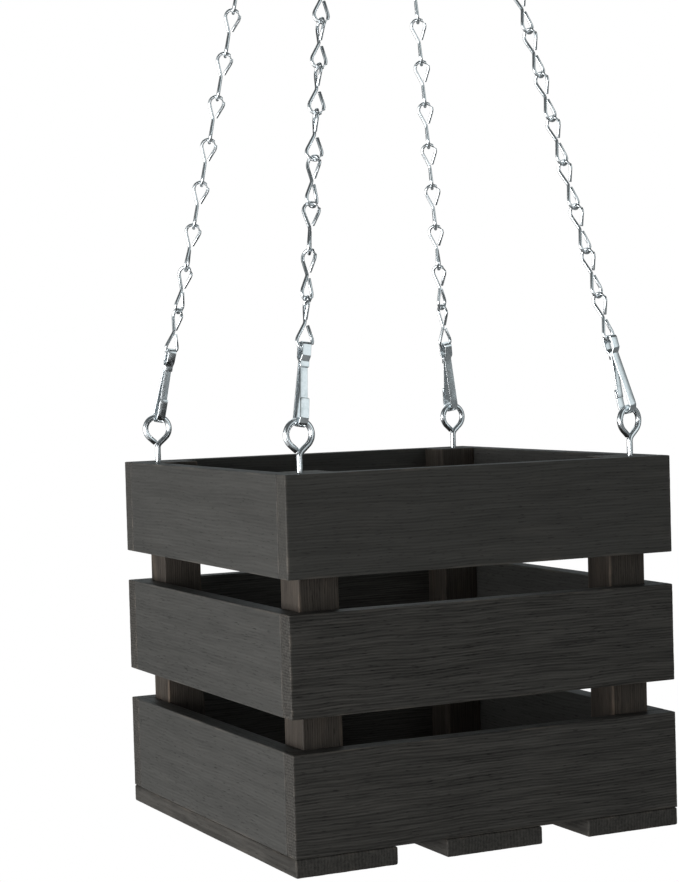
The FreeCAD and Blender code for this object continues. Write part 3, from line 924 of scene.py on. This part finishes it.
# brads fasten the boards and slats to the posts; they are sunk under the stain
bradShape = {
    "diameter": 1.4, "length": 22.0, "headDiameter": 2.4, "headThickness": 0.8, "headEdge": 0.12,
    "headEdgeShare": 0.9, "neckEase": 0.02, "sides": 24, "pointLength": 1.6, "pointShare": 0.4, "sink": 0.3,
    "faceShare": 0.25, "sideShare": 0.36, "floorShare": 0.75, "floorSpacing": 24.0,
}
bradLook = {
    "stain": (0.045, 0.044, 0.042), "thinStain": (0.08, 0.08, 0.08), "ridgePitch": 0.9, "ridgeRun": 1.4,
    "contrast": 0.2, "thin": 0.1, "edgeGap": 1.0, "bumpDepth": 0.02,
}


def stainedSteel():
    material, tree, shader = newMaterial("stainedSteel", 0.0)
    place = addNode(tree, "ShaderNodeTexCoord").outputs["Object"]
    values = grainValues(bradLook, place, bradLook["edgeGap"])
    finishWith(tree, shader, stainedGrain, bradLook["bumpDepth"], values)
    return material


def bradTree():
    tree, given, result = newTree("drivenBrads", "GeometryNodeTree", repeatInputs, [("Geometry", "Geometry")])
    drive = storedField(tree, "drive", "FLOAT_VECTOR")
    turn = addNode(tree, "FunctionNodeAlignRotationToVector", {"Vector": drive}, axis="Z").outputs[0]
    driven = repeatedWire(tree, given, givenPath(tree, given), givenRim(tree, given), turn)
    return endTree(tree, driven, given, result, smooth=False)


# each brad is the spot of its head on the outside, and the way that it is driven
def wallBrads(wall):
    sideWall = wall in ("left", "right")
    side = -1 if wall in ("front", "left") else 1
    share = bradShape["sideShare" if sideWall else "faceShare"]
    found = []
    for tier in tiers:
        low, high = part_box(f"{wall}_board_{tier}")
        face = low if side < 0 else high
        for level in (share, 1 - share):
            z = low.z + (high.z - low.z) * level
            for post in [middleOf("corner_post_" + corner) for corner in corners if wall in corner]:
                if sideWall:
                    found.append(((face.x, post.y, z), (-side, 0, 0)))
                else:
                    found.append(((post.x, face.y, z), (0, -side, 0)))
    return found


def floorBrads():
    found = []
    floor = cadBox[0].z
    boardLow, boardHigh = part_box("front_board_bottom")
    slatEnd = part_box("floor_slat_middle")[1].y - (boardHigh.y - boardLow.y) / 2
    for corner, (side, depth) in corners.items():
        low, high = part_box("corner_post_" + corner)
        reach = (bradShape["floorShare"] - 0.5) * (high.x - low.x)
        middle = (low + high) / 2
        found.append(((middle.x - side * reach, middle.y - depth * reach, floor), (0, 0, 1)))
        found.append(((side * bradShape["floorSpacing"] / 2 * mm, depth * slatEnd, floor), (0, 0, 1)))
    return found


# distances along the brad in mm, each with its radius as a share of the head's
def bradOutline():
    shape = bradShape
    slim = shape["diameter"] / shape["headDiameter"]
    head, length, sink = shape["headThickness"], shape["length"], shape["sink"]
    return [(sink, shape["headEdgeShare"]), (sink + shape["headEdge"], 1.0), (head, 1.0),
            (head + shape["neckEase"], slim), (length - shape["pointLength"], slim),
            (length, slim * shape["pointShare"])]


def makeBrads():
    outline = bradOutline()
    spots = [(0, 0, z * mm) for z, radius in outline]
    path = pathObject("bradPath", spots, [radius for z, radius in outline])
    groups = {wall: wallBrads(wall) for wall in walls}
    groups["floor"] = floorBrads()
    tree, steel = bradTree(), stainedSteel()
    for label, found in groups.items():
        mesh = bpy.data.meshes.new("bradSpots")
        mesh.from_pydata([spot for spot, drive in found], [], [])
        storeVectors(mesh, "drive", [drive for spot, drive in found])
        node = "brads_" + label
        piece = grownMesh(camel(node), tree, {
            "Path": path, "Diameter": bradShape["headDiameter"] * mm, "Sides": bradShape["sides"],
            "Material": steel}, mesh)
        settle(piece, "basket", node)
    bpy.data.objects.remove(path)


makeBrads()
print("brads driven")


cameraView = {
    "place": (-0.48429, -0.94628, -0.54065), "forward": (0.43621, 0.89914, -0.03574),
    "down": (-0.0406, -0.02002, -0.99898), "lens": 86.42, "sensor": 36.0, "nearest": 0.01,
}


def makeCamera():
    data = bpy.data.cameras.new("viewpoint")
    data.lens = cameraView["lens"]
    data.sensor_width = cameraView["sensor"]
    data.clip_start = cameraView["nearest"]
    camera = newObject("viewpoint", data)
    back = -Vector(cameraView["forward"]).normalized()
    up = -Vector(cameraView["down"])
    right = up.cross(back).normalized()
    up = back.cross(right)
    turn = Matrix((right, up, back)).transposed().to_4x4()
    camera.matrix_world = Matrix.Translation(cameraView["place"]) @ turn
    bpy.context.scene.camera = camera


# the camera sees plain white around the object, and its surfaces see the studio's own light
def whiteToCamera(tree, shading, whiteKind, outputKind):
    white = addNode(tree, whiteKind, {"Color": (1, 1, 1, 1), "Strength": 1.0})
    seen = addNode(tree, "ShaderNodeLightPath").outputs["Is Camera Ray"]
    mixed = addNode(tree, "ShaderNodeMixShader", {0: seen, 1: shading.outputs[0], 2: white.outputs[0]})
    addNode(tree, outputKind, {0: mixed.outputs[0]})


stageShape = {"floorDrop": 0.3, "floorRadius": 30.0, "floorSides": 64, "floorTone": 0.5}


def makeFloor():
    level = cadBox[0].z - stageShape["floorDrop"]
    count, radius, tone = stageShape["floorSides"], stageShape["floorRadius"], stageShape["floorTone"]
    angles = [math.tau * index / count for index in range(count)]
    mesh = bpy.data.meshes.new("paleFloor")
    rim = [(radius * math.cos(angle), radius * math.sin(angle), level) for angle in angles]
    mesh.from_pydata(rim, [], [tuple(range(count))])
    material = bpy.data.materials.new("paleFloor")
    material.use_nodes = True
    tree = material.node_tree
    tree.nodes.clear()
    dull = addNode(tree, "ShaderNodeBsdfDiffuse", {"Color": (tone, tone, tone, 1)})
    whiteToCamera(tree, dull, "ShaderNodeEmission", "ShaderNodeOutputMaterial")
    mesh.materials.append(material)
    newObject("paleFloor", mesh)


# a lobe is a soft bright area: its direction, the cosines where it starts and is full, and its strength
studio = {
    "dim": 0.08, "dimTint": (0.90, 0.98, 1.0, 1.0), "aim": (0, 0, -0.6),
    "lobes": [((0.25, 0.72, 0.65), 0.84, 0.97, 1.0), ((0.60, -0.77, 0.24), 0.84, 0.93, 0.82),
              ((0.45, -0.80, -0.30), 0.90, 0.97, 0.5), ((-0.98, 0.02, 0.12), 0.86, 0.94, 0.6)],
    "lamps": [("keyLamp", (-1.3, -0.1, -0.74), (1.6, 0.7), 24.0),
              ("frontLamp", (-0.45, -2.2, -0.80), (0.8, 0.5), 3.6),
              ("topLamp", (0.0, -0.4, 1.2), (0.5, 0.5), 0.6)],
}


def makeWorld():
    world = bpy.data.worlds.new("studioWorld")
    bpy.context.scene.world = world
    world.use_nodes = True
    tree = world.node_tree
    tree.nodes.clear()
    way = addNode(tree, "ShaderNodeTexCoord").outputs["Generated"]
    glow = studio["dim"]
    for axis, low, high, strength in studio["lobes"]:
        inputs = {0: way, 1: tuple(Vector(axis).normalized())}
        facing = addNode(tree, "ShaderNodeVectorMath", inputs, operation="DOT_PRODUCT").outputs["Value"]
        glow = math2(tree, "ADD", rampBetween(tree, facing, low, high, 0.0, strength), glow)
    soft = addNode(tree, "ShaderNodeBackground", {"Color": studio["dimTint"], "Strength": glow})
    whiteToCamera(tree, soft, "ShaderNodeBackground", "ShaderNodeOutputWorld")


def makeLamps():
    for name, place, size, power in studio["lamps"]:
        data = bpy.data.lights.new(name, "AREA")
        data.shape = "RECTANGLE"
        data.size, data.size_y = size
        data.energy = power
        lamp = newObject(name, data)
        lamp.location = place
        lamp.rotation_euler = (Vector(studio["aim"]) - Vector(place)).to_track_quat("-Z", "Y").to_euler()


makeCamera()
makeFloor()
makeWorld()
makeLamps()
bpy.context.scene.view_settings.view_transform = "Standard"
print("stage and camera ready")
